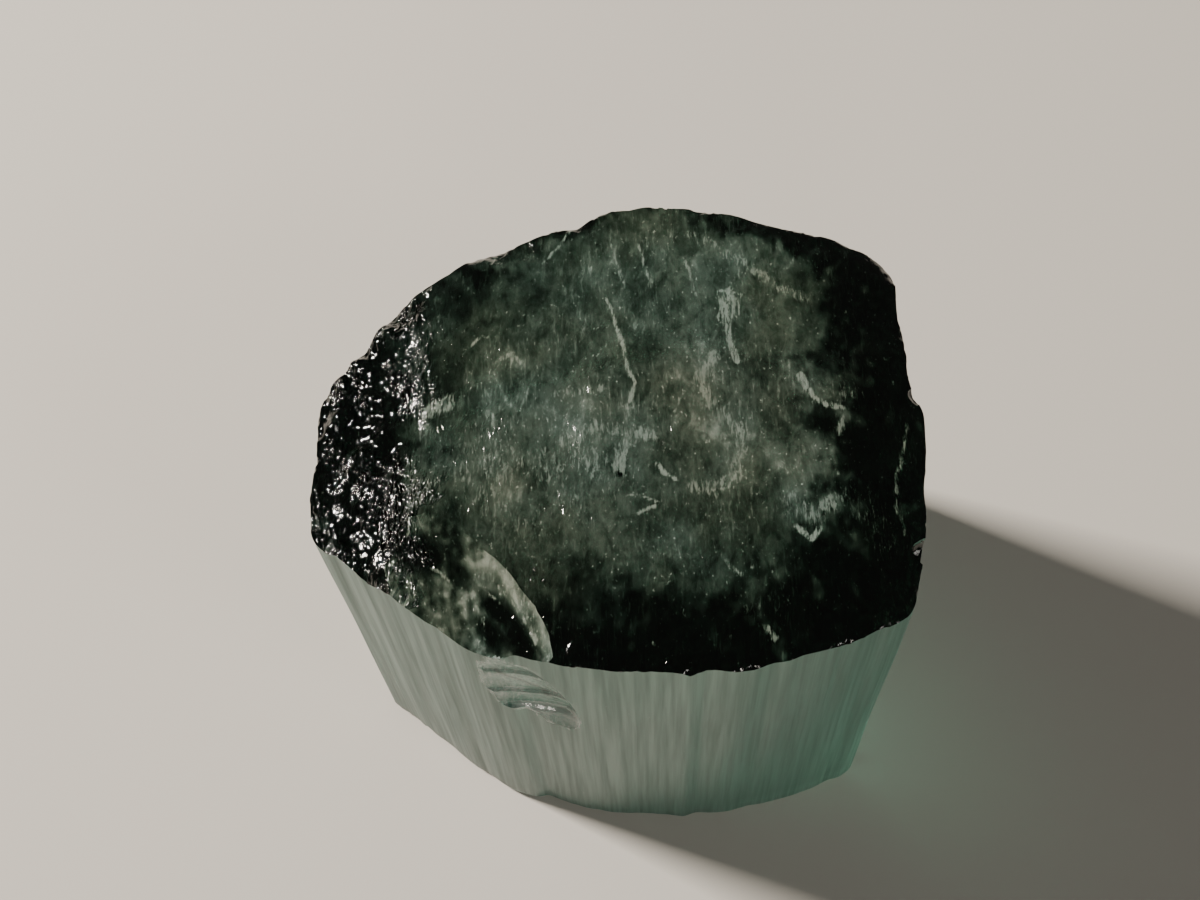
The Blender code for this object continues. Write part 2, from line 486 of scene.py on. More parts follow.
@dataclass
class Flake:
    """The thin flake that came off the front side under the chip."""

    middle: tuple[float, float, float] = (-2.95, -6.92, 10.6)
    half: tuple[float, float, float] = (1.30, 3.30, 0.66)
    turn: tuple[float, float, float] = (90.0, -24.0, -2.0)
    squareness: float = 2.6
    cell: float = 0.06
    slack: float = 0.08
    margin: float = 0.1
    lid: float = 1.0
    ledge_slant: float = 0.6
    ledge_slope: float = 0.85
    ledge_length: float = 1.2
    ledges: tuple[Spot, ...] = ((-2.34, 0.16), (-1.05, 0.10), (0.50, 0.08))
    ledge_bends: tuple[Grain, ...] = (Grain(1.6, 1.6, 71.0, 0.14), Grain(0.26, 0.26, 72.0, 0.03))
    floor_grain: Grain = Grain(0.3, 0.5, 73.0, 0.006)
    edge_rise: float = 3.0

    def room_at(self, across: float, along: float) -> float:
        """How far inside the flake's edge that point lies: 0 at the edge, 1 in the middle."""
        p = self.squareness
        room = max(0.0, 1.0 - (along / self.half[1]) ** 2) ** (p / 2)
        return room - abs(across / self.half[0]) ** p

    def depth(self, across: float, along: float) -> float:
        """How far the flake's floor lies out of its own plane, with its ledges, in mm.

        A ledge starts at its first number along the slant, falls by its
        second on a face of even slope, and fades out over ledge_length.
        """
        room = self.room_at(across, along)
        if room <= 0.0:
            return 0.0
        floor = self.half[2] * room ** (1 / self.squareness)
        slant = along + self.ledge_slant * across + summed(self.ledge_bends, across, along)
        broken = self.floor_grain.at(across, along)
        steepest = math.hypot(self.ledge_slant, 1.0)
        for start, drop in self.ledges:
            face = drop * steepest / self.ledge_slope
            past = slant - start
            if past > 0.0:
                left = max(0.0, 1.0 - max(0.0, past - face) / self.ledge_length)
                broken += drop * min(1.0, past / face) * left
        return -floor - min(1.0, self.edge_rise * room) * broken

    def own_place(self, place: Vector) -> Vector | None:
        """Turns a point of the flake's floor to its own axes.

        Args:
            place: a point of the crystal.

        Returns:
            The point across, along and out of the flake, or None off its floor.
        """
        own = turn_matrix(self.turn).to_3x3().transposed() @ (place - Vector(self.middle))
        if self.room_at(own.x, own.y) <= 0.0 or abs(own.z - self.depth(own.x, own.y)) > self.slack:
            return None
        return own

    def sheet(self) -> Sheet:
        """The flake's cutter. Its own Z points out of the crystal."""
        wide, long, _ = (half + self.margin for half in self.half)
        return Sheet(
            "flake_cutter", self.middle, self.turn, (-wide, -long), (wide, long),
            self.cell, self.depth, self.lid,
        )


@dataclass
class Nicks:
    """Small pillow-shaped bites along the rim and the base edge."""

    bites: tuple[tuple[float, float, float, float], ...] = (
        (7.52, -3.78, 12.4, 0.42),
        (7.80, 0.52, 12.9, 0.36),
        (3.40, -7.12, 13.0, 0.40),
        (0.95, -7.15, 12.85, 0.30),
        (-8.15, -0.90, 12.5, 0.34),
        (4.70, 6.25, 12.95, 0.40),
        (7.35, -5.20, 0.0, 0.50),
        (-6.60, -4.55, 0.0, 0.42),
        (-4.60, 4.90, 0.0, 0.55),
        (3.20, 6.75, 0.0, 0.45),
    )
    squareness: float = 3.0
    stretch: tuple[float, float, float] = (0.8, 0.8, 1.2)
    tilt: float = 20.0
    turn_per_mm: float = 40.0
    lumps: float = 0.06
    lumps_across: float = 3.0
    detail: int = 4

    def build(self) -> bpy.types.Object:
        """Builds all the nicks as one cutter and returns it."""
        bm = bmesh.new()
        for x, y, z, radius in self.bites:
            made = bmesh.ops.create_icosphere(bm, subdivisions=self.detail, radius=1.0)
            turned = turn_matrix((0.0, self.tilt, x * self.turn_per_mm)).to_3x3()
            middle = Vector((x, y, z))
            half = radius * Vector(self.stretch)
            for vert in made["verts"]:
                p = self.squareness
                flat = (abs(vert.co.x) ** p + abs(vert.co.y) ** p) ** (2 / p)
                vert.co /= math.sqrt(flat + vert.co.z ** 2)
                vert.co *= 1.0 + self.lumps * noise.noise(vert.co * self.lumps_across + middle)
                vert.co = (turned @ (vert.co * half) + middle) * MM
        return link_piece("nick_cutter", bm)


@dataclass
class Crystal:
    """The whole crystal: a striated prism with a broken top."""

    outline: Outline = field(default_factory=Outline)
    striations: Striations = field(default_factory=Striations)
    top: BrokenTop = field(default_factory=BrokenTop)
    chip: Chip = field(default_factory=Chip)
    flake: Flake = field(default_factory=Flake)
    nicks: Nicks = field(default_factory=Nicks)
    column_count: int = 720
    edge_heights: tuple[float, ...] = (0.0, 0.05, 0.12, 0.22)
    ring_step: float = 0.55
    over_height: float = 14.5
    base_edge: float = 0.10
    front_flare: float = 0.28
    depth_in_front: float = 7.0
    break_cell: float = 0.062
    break_half: Spot = (9.0, 8.0)
    headroom: float = 2.0
    sharp_angle: float = 28.0

    def ring_heights(self) -> list[float]:
        """Heights of the rings of corners up the sides, from the base."""
        heights = list(self.edge_heights)
        while heights[-1] < self.over_height:
            heights.append(heights[-1] + self.ring_step)
        return heights

    def prism(self) -> bpy.types.Object:
        """Builds the striated prism, taller than the crystal."""
        points, along, around = self.outline.columns(self.column_count)
        rule = self.striations
        coarse = rule.strips(rule.seed, rule.coarse_widths, rule.coarse_depth, along, around)
        fine = rule.strips(rule.fine_seed, rule.fine_widths, rule.fine_depth, along, around)
        ahead = np.roll(points, -2, axis=0) - np.roll(points, 2, axis=0)
        inward = np.column_stack((-ahead[:, 1], ahead[:, 0]))
        inward /= np.linalg.norm(inward, axis=1)[:, None]
        bm = bmesh.new()
        column_of = bm.verts.layers.int.new("column")
        ring = bmesh.ops.create_circle(bm, cap_ends=True, segments=self.column_count, radius=1.0)
        for column, vert in enumerate(ring["verts"]):
            vert[column_of] = column
        cap = bm.faces[:]
        for level, height in enumerate(self.ring_heights()):
            if level:
                below = cap
                made = bmesh.ops.extrude_face_region(bm, geom=below)
                cap = [item for item in made["geom"] if isinstance(item, bmesh.types.BMFace)]
                if level > 1:
                    bmesh.ops.delete(bm, geom=below, context="FACES")
            worn = self.base_edge * (1.0 - bump_curve(height, 0.0, self.edge_heights[-1]))
            flare = self.front_flare * max(0.0, 1.0 - height / self.top.plateau)
            for vert in cap[0].verts:
                column = vert[column_of]
                where = along[column]
                lean = rule.wander.at(where, height) + rule.waver.at(where, height)
                fading = rule.fading_middle + rule.fading.at(where, height)
                drawn = coarse[column] + fine[column] * fading + worn + lean
                place = points[column] + inward[column] * drawn
                place[1] += flare * min(0.0, place[1]) / self.depth_in_front
                vert.co = Vector((place[0], place[1], height)) * MM
        bmesh.ops.recalc_face_normals(bm, faces=bm.faces[:])
        return link_piece("crystal", bm)

    def build(self) -> bpy.types.Object:
        """Builds the crystal and returns it, with its cuts made."""
        crystal = self.prism()
        wide, long = self.break_half
        broken = Sheet(
            "break_cutter", (0.0, 0.0, 0.0), (0.0, 0.0, 0.0), (-wide, -long), (wide, long),
            self.break_cell, self.top.height, self.over_height + self.headroom,
        )
        cutters = [self.nicks.build(), broken.build()]
        cutters += [bite.sheet().build() for bite in (self.chip, self.flake)]
        for cutter in cutters:
            step = crystal.modifiers.new(cutter.name, "BOOLEAN")
            step.operation = "DIFFERENCE"
            step.solver = "MANIFOLD"
            step.object = cutter
        depsgraph = bpy.context.evaluated_depsgraph_get()
        cut = bpy.data.meshes.new_from_object(crystal.evaluated_get(depsgraph))
        crystal.modifiers.clear()
        crystal.data = cut
        for cutter in cutters:
            bpy.data.objects.remove(cutter, do_unlink=True)
        cut.shade_smooth()
        cut.set_sharp_from_angle(angle=math.radians(self.sharp_angle))
        return crystal


class Zone(IntEnum):
    """The kinds of surface that the crystal has, which look unlike each other."""

    SIDE = 0
    END = 1
    CHIP = 2
    FLAKE = 3


@dataclass(frozen=True)
class Wisp:
    """A streak, patch or dot in the crystal, just under the broken top.

    It follows a line of points. Its tone runs from 0, black, to 1, milky. It
    fades out over its own half width, and over least_fade if it is thin.
    """

    points: tuple[Spot, ...]
    half_width: float
    tone: float
    least_fade: float = 0.10

    def cover(self, spots: np.ndarray) -> np.ndarray:
        """How much of each spot it covers, from 0 to 1.

        Args:
            spots: rows of x and y, in mm.

        Returns:
            One share for each spot.
        """
        near = np.full(len(spots), np.inf)
        for start, end in zip(self.points, self.points[1:]):
            first = np.array(start)
            along = np.array(end) - first
            share = ((spots - first) @ along) / max(float(along @ along), TINY)
            foot = first + np.clip(share, 0.0, 1.0)[:, None] * along
            near = np.minimum(near, np.hypot(*(spots - foot).T))
        fade = max(self.half_width, self.least_fade)
        return np.clip(0.5 + (self.half_width - near) / fade, 0.0, 1.0)


def strongest(wisps: tuple[Wisp, ...], spots: np.ndarray) -> np.ndarray:
    """The tone of whichever wisp shows most at each spot, 0 where none does."""
    return np.max([wisp.tone * wisp.cover(spots) for wisp in wisps], axis=0)


@dataclass(frozen=True)
class Darkening:
    """A part of the broken end that gets darker towards the rim.

    Its direction is as a Slope's. From its start it darkens over a width, by a depth of 1 at most.
    """

    direction: float
    start: float
    width: float
    depth: float


@dataclass
class TopTones:
    """How milky, dark or pitted the crystal looks at each point of its surface.

    The chip's and the flake's wisps lie on the chip's and the flake's own axes.
    """

    top: BrokenTop = field(default_factory=BrokenTop)
    chip: Chip = field(default_factory=Chip)
    flake: Flake = field(default_factory=Flake)

    # The broken end is cloudy in the middle and dark towards the rim.
    middle: float = 0.56
    clouds: tuple[Grain, ...] = (
        Grain(2.3, 2.8, 81.0, 0.16), Grain(0.8, 1.1, 83.0, 0.12), Grain(0.33, 0.45, 85.0, 0.10))
    streaky: Oval = Oval((-2.2, -1.5), (2.9, 2.1), 1.4)
    streaky_tone: float = 0.12
    streaky_milk: float = 0.55
    streaky_gaps: Grain = Grain(0.7, 0.9, 117.0)
    streaky_gap_span: Span = (-0.45, 0.10)
    edges: tuple[Grain, ...] = (
        Grain(1.4, 1.4, 89.0, 1.0), Grain(0.5, 0.6, 91.0, 0.9), Grain(0.19, 0.26, 92.0, 0.55))
    mottle: Grain = Grain(0.45, 0.60, 113.0)
    mottle_span: Span = (0.25, 0.60)
    mottle_tone: float = 0.28
    speckle: Grain = Grain(0.17, 0.22, 115.0, 0.20)
    dark_slopes: tuple[Darkening, ...] = (
        Darkening(-3.0, 4.7, 1.7, 0.90),
        Darkening(-88.0, 4.3, 1.9, 0.90),
        Darkening(183.0, 5.0, 1.3, 0.90),
        Darkening(122.0, 4.9, 2.0, 0.85),
        Darkening(75.0, 5.9, 1.5, 0.85),
        Darkening(35.0, 5.8, 2.2, 0.90),
        Darkening(-50.0, 5.2, 2.0, 0.90),
        Darkening(-96.0, 1.6, 3.2, 0.20),
        Darkening(168.0, 1.8, 2.8, 0.26),
    )
    # Veils of tiny bubbles and healed cracks, which look milky. The white dots further down are painted
    # glints.
    veils: tuple[Wisp, ...] = (
        Wisp(((2.0, 1.4), (2.6, 0.3), (2.9, -1.2)), 0.90, 0.16),
        Wisp(((-1.0, -0.4), (0.6, -0.6)), 0.70, 0.08),
        Wisp(((-3.9, 1.6), (-2.6, 1.8)), 0.60, 0.08),
        Wisp(((4.7, 1.2), (5.3, 0.0)), 0.50, 0.10),
        Wisp(((4.6, -2.6), (5.3, -3.0)), 0.50, 0.12),
    )
    wisps: tuple[Wisp, ...] = (
        Wisp(((-0.3, 3.7), (-0.1, 2.8), (0.1, 2.1), (0.2, 1.4), (0.4, 1.0), (0.3, 0.4)), 0.07, 1.00),
        Wisp(((-0.2, 5.5), (0.0, 4.6), (0.2, 3.9)), 0.06, 0.80),
        Wisp(((0.6, 5.4), (0.8, 4.3), (0.9, 4.0)), 0.07, 0.74),
        Wisp(((1.8, 4.9), (2.0, 4.2), (2.1, 3.7)), 0.07, 0.76),
        Wisp(((3.00, 3.75), (2.90, 2.95)), 0.24, 0.80),
        Wisp(((2.68, 3.75), (2.75, 3.30), (2.62, 2.90), (2.85, 2.70)), 0.05, 0.95),
        Wisp(((2.70, 3.85), (3.30, 3.75), (3.20, 3.05)), 0.05, 0.95),
        Wisp(((2.9, 2.7), (3.0, 2.1), (3.1, 1.6)), 0.12, 0.90),
        Wisp(((2.5, 1.8), (2.1, 1.0), (2.4, 0.2)), 0.24, 0.72),
        Wisp(((2.4, 0.2), (3.0, -0.4), (3.1, -1.1), (2.9, -1.8), (2.4, -2.2), (1.9, -2.1)), 0.26, 0.66),
        Wisp(((3.1, -0.9), (3.05, -1.6), (2.7, -2.15), (2.2, -2.25)), 0.05, 0.90),
        Wisp(((0.0, -1.5), (0.1, -0.9), (0.5, -0.5), (0.8, -0.6)), 0.22, 0.74),
        Wisp(((0.9, -1.4), (1.1, -1.7), (1.4, -1.9)), 0.07, 1.00),
        Wisp(((0.2, -2.3), (0.6, -2.35), (1.0, -2.5)), 0.05, 1.00),
        Wisp(((0.4, -2.8), (0.9, -2.6)), 0.05, 1.00),
        Wisp(((2.0, 5.7), (2.8, 5.2), (3.5, 4.7), (4.3, 3.9), (5.0, 3.5)), 0.20, 0.62),
        Wisp(((-3.1, 1.8), (-2.8, 1.9), (-2.6, 1.7)), 0.12, 0.84),
        Wisp(((-5.0, 0.3), (-4.5, 0.5)), 0.26, 0.84),
        Wisp(((-1.3, 6.1), (-1.6, 5.5), (-1.9, 5.1), (-2.1, 4.9)), 0.06, 0.80),
        # Three short strokes of painted glints.
        Wisp(((-3.95, 2.20), (-3.80, 2.42)), 0.06, 1.00),
        Wisp(((-3.62, 2.50), (-3.55, 2.46)), 0.05, 1.00),
        Wisp(((-4.15, 1.95), (-4.10, 2.05)), 0.05, 0.90),
        Wisp(((4.7, 1.1), (5.0, 0.5), (5.3, 0.2), (5.7, 0.1)), 0.12, 0.85),
        Wisp(((5.5, 0.7), (6.0, 0.5)), 0.35, 0.52),
        Wisp(((5.7, -0.2), (5.6, -0.7)), 0.12, 0.72),
        Wisp(((4.2, -2.6), (4.8, -3.0), (5.3, -2.6)), 0.28, 0.66),
        Wisp(((4.3, -3.3), (4.7, -3.6), (4.9, -3.3)), 0.10, 0.94),
        Wisp(((7.4, -0.3), (7.2, -1.1), (7.0, -1.8), (6.9, -2.3), (6.9, -2.9), (7.0, -3.4)), 0.07, 0.66),
        Wisp(((2.5, -4.0), (2.7, -4.3), (2.9, -4.5)), 0.08, 0.70),
        Wisp(((3.2, -5.4), (3.8, -5.1)), 0.32, 0.34),
        Wisp(((3.5, -5.8), (3.6, -6.1)), 0.10, 0.74),
        Wisp(((5.7, -2.5), (6.2, -3.0), (6.5, -3.7)), 0.50, 0.34),
        Wisp(((-1.5, -0.7), (-0.5, -0.3), (0.6, -0.6)), 0.25, 0.66),
        Wisp(((-1.6, 0.7), (-0.5, 0.8)), 0.20, 0.64),
        Wisp(((1.7, 0.6), (1.4, 0.0)), 0.06, 0.84),
    )
    bends: tuple[Grain, Grain] = (Grain(0.45, 0.45, 93.0, 0.07), Grain(0.45, 0.45, 95.0, 0.07))
    glint_speck_half_width: float = 0.045
    glint_speck_tone: float = 0.95
    painted_glint_specks: tuple[Spot, ...] = (
        (1.78, 2.23), (2.14, 1.72), (0.67, 2.83), (5.76, 1.48), (7.02, 2.67), (6.98, 1.64),
        (7.11, 0.90), (6.07, 3.08), (1.49, -5.42), (2.01, -5.53), (1.00, -4.49), (3.61, -6.08),
        (-4.08, 4.07), (-4.13, 2.15), (3.20, -4.34), (-0.62, 3.74), (-2.67, 2.82), (-0.92, 2.78),
        (6.07, -0.31), (5.49, -1.83), (-1.5, -4.2), (0.8, -6.2), (-0.6, -5.9), (2.6, -6.0),
    )
    hole: Wisp = Wisp(((0.02, -1.67), (0.04, -1.64)), 0.09, 0.0)

    # Where it is pitted. Pits of even depth glint most, so the deep ones are calmed in clusters.
    tip_span: Span = (-4.9, -5.5)
    tip_edges: tuple[Grain, ...] = (Grain(1.6, 1.3, 97.0, 1.4), Grain(0.4, 0.5, 98.0, 0.8))
    pit_patches: Grain = Grain(1.3, 1.6, 99.0)
    pit_patch_span: Span = (0.18, 0.40)
    pit_patch_depth: float = 0.16
    least_pitted: float = 0.07
    glint_calming: float = 0.76
    glint_clusters: tuple[Wisp, ...] = (
        Wisp(((-6.0, 2.3), (-6.8, 2.0), (-6.5, 1.2), (-6.1, 0.7)), 0.44, 1.0),
        Wisp(((-7.5, -1.4), (-7.1, -2.3), (-6.6, -3.2), (-6.2, -4.2)), 0.50, 0.9),
        Wisp(((-6.5, -2.0), (-6.2, -1.6)), 0.30, 0.9),
    )
    calm_patch: Wisp = Wisp(((-7.6, 0.2), (-6.9, -0.2), (-6.0, -0.4), (-5.2, -0.4)), 0.66, 1.0, 0.30)

    # Painted shade darkens the sides towards the base, but for a band low at the front right, a painted glow
    # where light leaves the crystal.
    painted_shade_span: Span = (4.5, 0.5)
    painted_base_shade: float = 0.18
    painted_base_glow: Wisp = Wisp(((3.6, 0.55), (7.0, 0.55)), 0.50, 1.0)

    # The chip has a crescent of painted sheen under its crest, where its wall catches the light, a streaky
    # floor with dark patches, and painted glints along its edges.
    crescent_ragged: tuple[Grain, ...] = (Grain(0.45, 0.45, 101.0, 0.05), Grain(0.16, 0.16, 103.0, 0.03))
    crescent_span: Span = (0.70, 0.78)
    crescent_start: Span = (-4.8, -4.2)
    crescent_start_ragged: float = 8.0
    crescent_sheen_tone: float = 0.76
    crescent_grain: Grain = Grain(0.22, 0.6, 111.0, 0.30)
    chip_tone: float = 0.60
    chip_streaks: Grain = Grain(0.26, 0.8, 105.0, 0.40)
    chip_speckle: Grain = Grain(0.14, 0.22, 107.0, 0.36)
    chip_lean: float = 0.3
    chip_dark_along: Span = (0.5, 1.1)
    chip_dark_across: Span = (-3.9, -4.5)
    chip_dark: float = 0.16
    chip_shades: tuple[Wisp, ...] = (
        Wisp(((-3.1, 1.30), (-2.5, 1.50), (-1.9, 1.58), (-1.3, 1.55)), 0.24, 0.78),
        Wisp(((-2.6, 0.95), (-2.2, 1.05)), 0.28, 0.65),
        Wisp(((-5.8, -0.15), (-5.3, 0.0), (-4.9, 0.40)), 0.44, 0.80),
        Wisp(((-4.5, 0.75), (-4.1, 0.95)), 0.26, 0.45),
    )
    chip_glints: tuple[Wisp, ...] = (
        Wisp(((-4.62, 0.33), (-4.40, 0.50), (-4.13, 0.58)), 0.05, 1.0),
        Wisp(((-2.90, 1.00), (-2.60, 0.88), (-2.15, 0.69)), 0.04, 0.9),
        Wisp(((-3.35, 1.35), (-3.00, 1.50)), 0.04, 0.9),
        Wisp(((-1.95, 1.82), (-1.60, 1.86)), 0.04, 1.0),
        Wisp(((-3.60, 0.20), (-3.30, 0.35)), 0.04, 0.8),
        Wisp(((-5.15, -0.75), (-4.85, -0.85), (-4.70, -0.80)), 0.12, 0.9),
        Wisp(((-4.80, -0.25), (-4.20, 0.05)), 0.05, 0.7),
        Wisp(((-5.70, 1.20), (-5.00, 1.62), (-4.40, 1.86), (-3.60, 2.08)), 0.04, 0.85),
        Wisp(((-3.40, 1.62), (-2.90, 1.76), (-2.20, 1.86), (-1.70, 1.92)), 0.04, 0.95),
        Wisp(((-6.10, 0.50), (-5.85, 0.25)), 0.34, 0.55),
    )

    # The flake's scar has a dark line of painted shade along its upper edge, where it steps in, and white
    # streaks of painted highlight.
    painted_flake_edge_shade: Wisp = Wisp((
        (0.00, 0.62), (0.05, 0.40), (0.10, 0.10), (0.22, -0.22), (0.26, -0.60), (0.40, -0.98),
        (0.42, -1.40), (0.55, -1.72)), 0.045, 0.0)
    painted_flake_highlights: tuple[Wisp, ...] = (
        Wisp(((-0.60, -1.86), (0.00, -2.20), (0.70, -2.62)), 0.16, 1.0),
        Wisp(((0.10, -1.80), (0.60, -2.10)), 0.06, 0.8),
        Wisp(((-0.40, -0.71), (-0.05, -0.92)), 0.08, 0.9),
        Wisp(((-0.15, 0.79), (0.10, 0.64)), 0.07, 0.9),
        Wisp(((0.55, -2.45), (0.70, -2.90)), 0.10, 0.8),
    )
    flake_milk: float = 0.36

    def in_flake(self, places: np.ndarray) -> np.ndarray:
        """Marks of the flake's floor: a fresh break, painted white highlights and a dark line of painted
        shade.

        Args:
            places: every corner point of the crystal, in mm.

        Returns:
            Three marks for each point. Off the flake they are those of plain sides.
        """
        marks = np.tile((1.0, 0.0, 0.0), (len(places), 1))
        found = {index: own for index, place in enumerate(places)
                 if (own := self.flake.own_place(Vector(place)))}
        if found:
            rows = list(found)
            spots = np.array([own.xy[:] for own in found.values()])
            marks[rows, 0] = 1.0 - self.painted_flake_edge_shade.cover(spots)
            marks[rows, 1] = np.maximum(strongest(self.painted_flake_highlights, spots), self.flake_milk)
            marks[rows, 2] = 1.0
        return marks

    def in_chip(self, x: float, y: float, across: float, along: float) -> float:
        """Tone of the chip: a crescent of painted sheen under its crest, where its wall catches the light,
        and a streaky floor.

        Args:
            x: place across, in mm.
            y: place along, in mm.
            across: place across on the chip's own axes.
            along: place along on the chip's own axes.

        Returns:
            The tone.
        """
        ragged = summed(self.crescent_ragged, x, y)
        crescent = bump_curve(self.chip.out_at(across, along) + ragged, *self.crescent_span)
        crescent *= bump_curve(across + self.crescent_start_ragged * ragged, *self.crescent_start)
        leaning = x + self.chip_lean * y
        floor = self.chip_tone + self.chip_streaks.at(leaning, y) + self.chip_speckle.at(x, y)
        floor -= self.chip_dark * bump_curve(along, *self.chip_dark_along) * bump_curve(
            across, *self.chip_dark_across)
        pale = self.crescent_sheen_tone + self.crescent_grain.at(leaning, y)
        return floor + (pale - floor) * crescent

    def in_end(self, x: float, y: float) -> float:
        """Tone of the broken end there without its wisps."""
        tone = self.middle + summed(self.clouds, x, y) + self.streaky_tone * self.streaky.share(x, y)
        edge = summed(self.edges, x, y)
        for slope in self.dark_slopes:
            turn = math.radians(slope.direction)
            past = x * math.cos(turn) + y * math.sin(turn) + edge
            tone *= 1.0 - slope.depth * bump_curve(past, slope.start, slope.start + slope.width)
        mottle = self.mottle_tone * bump_curve(self.mottle.at(x, y), *self.mottle_span)
        return max(tone, mottle + self.speckle.at(x, y))

    def milk(self, spots: np.ndarray) -> np.ndarray:
        """How milky the streaks and wisps make each point of the broken end, with white dots of painted
        glints.
        """
        across, along = self.bends
        bent = spots + np.array([(across.at(x, y), along.at(x, y)) for x, y in spots])
        milky = self.streaky_milk * np.array([
            self.streaky.share(x, y) * bump_curve(self.streaky_gaps.at(x, y), *self.streaky_gap_span)
            for x, y in spots])
        dots = [Wisp((speck, speck), self.glint_speck_half_width, self.glint_speck_tone) for speck in self.painted_glint_specks]
        return np.maximum(milky, strongest((*self.wisps, *dots), bent))

    def pitted(self, spots: np.ndarray) -> np.ndarray:
        """How sharply pitted the end is at each point: the left tip and a few patches."""
        tip = np.array([
            bump_curve(x + summed(self.tip_edges, x, y), *self.tip_span) for x, y in spots])
        tip *= 1.0 - self.calm_patch.cover(spots)
        tip *= 1.0 - self.glint_calming * strongest(self.glint_clusters, spots)
        patches = self.pit_patch_depth * np.array([
            bump_curve(self.pit_patches.at(x, y), *self.pit_patch_span) for x, y in spots])
        return np.maximum(np.maximum(tip, patches), self.least_pitted)

    def painted_side_shade(self, places: np.ndarray) -> np.ndarray:
        """Tone of the sides at each point: painted shade towards the base, but for a painted glow low at the
        front.
        """
        glow = self.painted_base_glow.cover(places[:, (0, 2)]) * (places[:, 1] < 0.0)
        dark = np.array([bump_curve(z, *self.painted_shade_span) for z in places[:, 2]])
        return 1.0 - self.painted_base_shade * dark * (1.0 - glow)

    def marks(self, places: np.ndarray) -> np.ndarray:
        """The tone, the milkiness and the third mark of every point, as each zone has them.

        Args:
            places: every corner point of the crystal, in mm.

        Returns:
            Three marks for each point and zone.
        """
        high = np.flatnonzero(places[:, 2] > TOP_ZONE)
        spots = places[high, :2]
        own = np.array([self.chip.own_axes(x, y) for x, y in spots])
        marks = np.zeros((len(Zone), len(places), 3))
        marks[Zone.SIDE, :, 0] = self.painted_side_shade(places)
        marks[Zone.FLAKE] = self.in_flake(places)
        tone = np.array([self.in_end(x, y) for x, y in spots])
        for veil in self.veils:
            tone += veil.tone * veil.cover(spots)
        marks[Zone.END, high, 0] = tone * (1.0 - self.hole.cover(spots))
        marks[Zone.END, high, 1] = self.milk(spots)
        tone = np.array([self.in_chip(x, y, *place) for (x, y), place in zip(spots, own)])
        marks[Zone.CHIP, high, 0] = tone * (1.0 - strongest(self.chip_shades, own))
        # Painted glints on the chip's edges.
        marks[Zone.CHIP, high, 1] = strongest(self.chip_glints, own)
        for zone in (Zone.END, Zone.CHIP):
            marks[zone, high, 2] = self.pitted(spots)
        return np.clip(marks, 0.0, 1.0)

    def zones(self, mesh: bpy.types.Mesh) -> np.ndarray:
        """The zone that each face of the crystal belongs to."""
        middles, normals = np.empty((2, len(mesh.polygons) * 3))
        mesh.polygons.foreach_get("center", middles)
        mesh.polygons.foreach_get("normal", normals)
        middles = middles.reshape(-1, 3) / MM
        is_end = (normals.reshape(-1, 3)[:, 2] > BROKEN_FACING) & (middles[:, 2] > TOP_ZONE)
        zones = np.full(len(middles), Zone.SIDE, dtype=int)
        for face, middle in enumerate(middles):
            if self.flake.own_place(Vector(middle)):
                zones[face] = Zone.FLAKE
            elif is_end[face]:
                zones[face] = Zone.CHIP if self.chip.holds(*middle, self.top) else Zone.END
        return zones

    def paint(self, crystal: bpy.types.Object) -> None:
        """Writes the marks on the mesh's corners, and on each face whether it is broken.

        Args:
            crystal: the finished crystal.
        """
        mesh = crystal.data
        places = np.empty(len(mesh.vertices) * 3)
        mesh.vertices.foreach_get("co", places)
        zones = self.zones(mesh)
        corners, sizes = (np.empty(count, dtype=np.int32) for count in (len(mesh.loops), len(zones)))
        mesh.loops.foreach_get("vertex_index", corners)
        mesh.polygons.foreach_get("loop_total", sizes)
        marked = self.marks(places.reshape(-1, 3) / MM)[np.repeat(zones, sizes), corners]
        layer = mesh.attributes.new("marks", "FLOAT_VECTOR", "CORNER")
        layer.data.foreach_set("vector", marked.ravel())
        broken = mesh.attributes.new("broken", "FLOAT", "FACE")
        broken.data.foreach_set("value", np.isin(zones, (Zone.END, Zone.CHIP)).astype(float))


# ---------------------------------------------------------------- finishes


class Kind(Enum):
    """The kinds of shader node in the finish: Blender's type, the output that is wanted, settings."""

    PLACE = ("ShaderNodeTexCoord", "Object", {})
    MARK = ("ShaderNodeAttribute", "Fac", {})
    SPLIT = ("ShaderNodeSeparateXYZ", 0, {})
    SCALE = ("ShaderNodeMapping", 0, {})
    NOISE = ("ShaderNodeTexNoise", 0, {})
    RANGE = ("ShaderNodeMapRange", 0, {})
    MULTIPLY = ("ShaderNodeMath", 0, {"operation": "MULTIPLY"})
    MULTIPLY_ADD = ("ShaderNodeMath", 0, {"operation": "MULTIPLY_ADD"})
    SUBTRACT = ("ShaderNodeMath", 0, {"operation": "SUBTRACT"})
    MIX = ("ShaderNodeMix", 0, {})
    MIX_COLOUR = ("ShaderNodeMix", MIX_COLOUR_OUT, {"data_type": "RGBA"})
    TINT = ("ShaderNodeMix", MIX_COLOUR_OUT, {"data_type": "RGBA", "blend_type": "MULTIPLY"})
    RAMP = ("ShaderNodeValToRGB", 0, {})
    BUMP = ("ShaderNodeBump", 0, {})
    ABSORB = ("ShaderNodeVolumeAbsorption", 0, {})


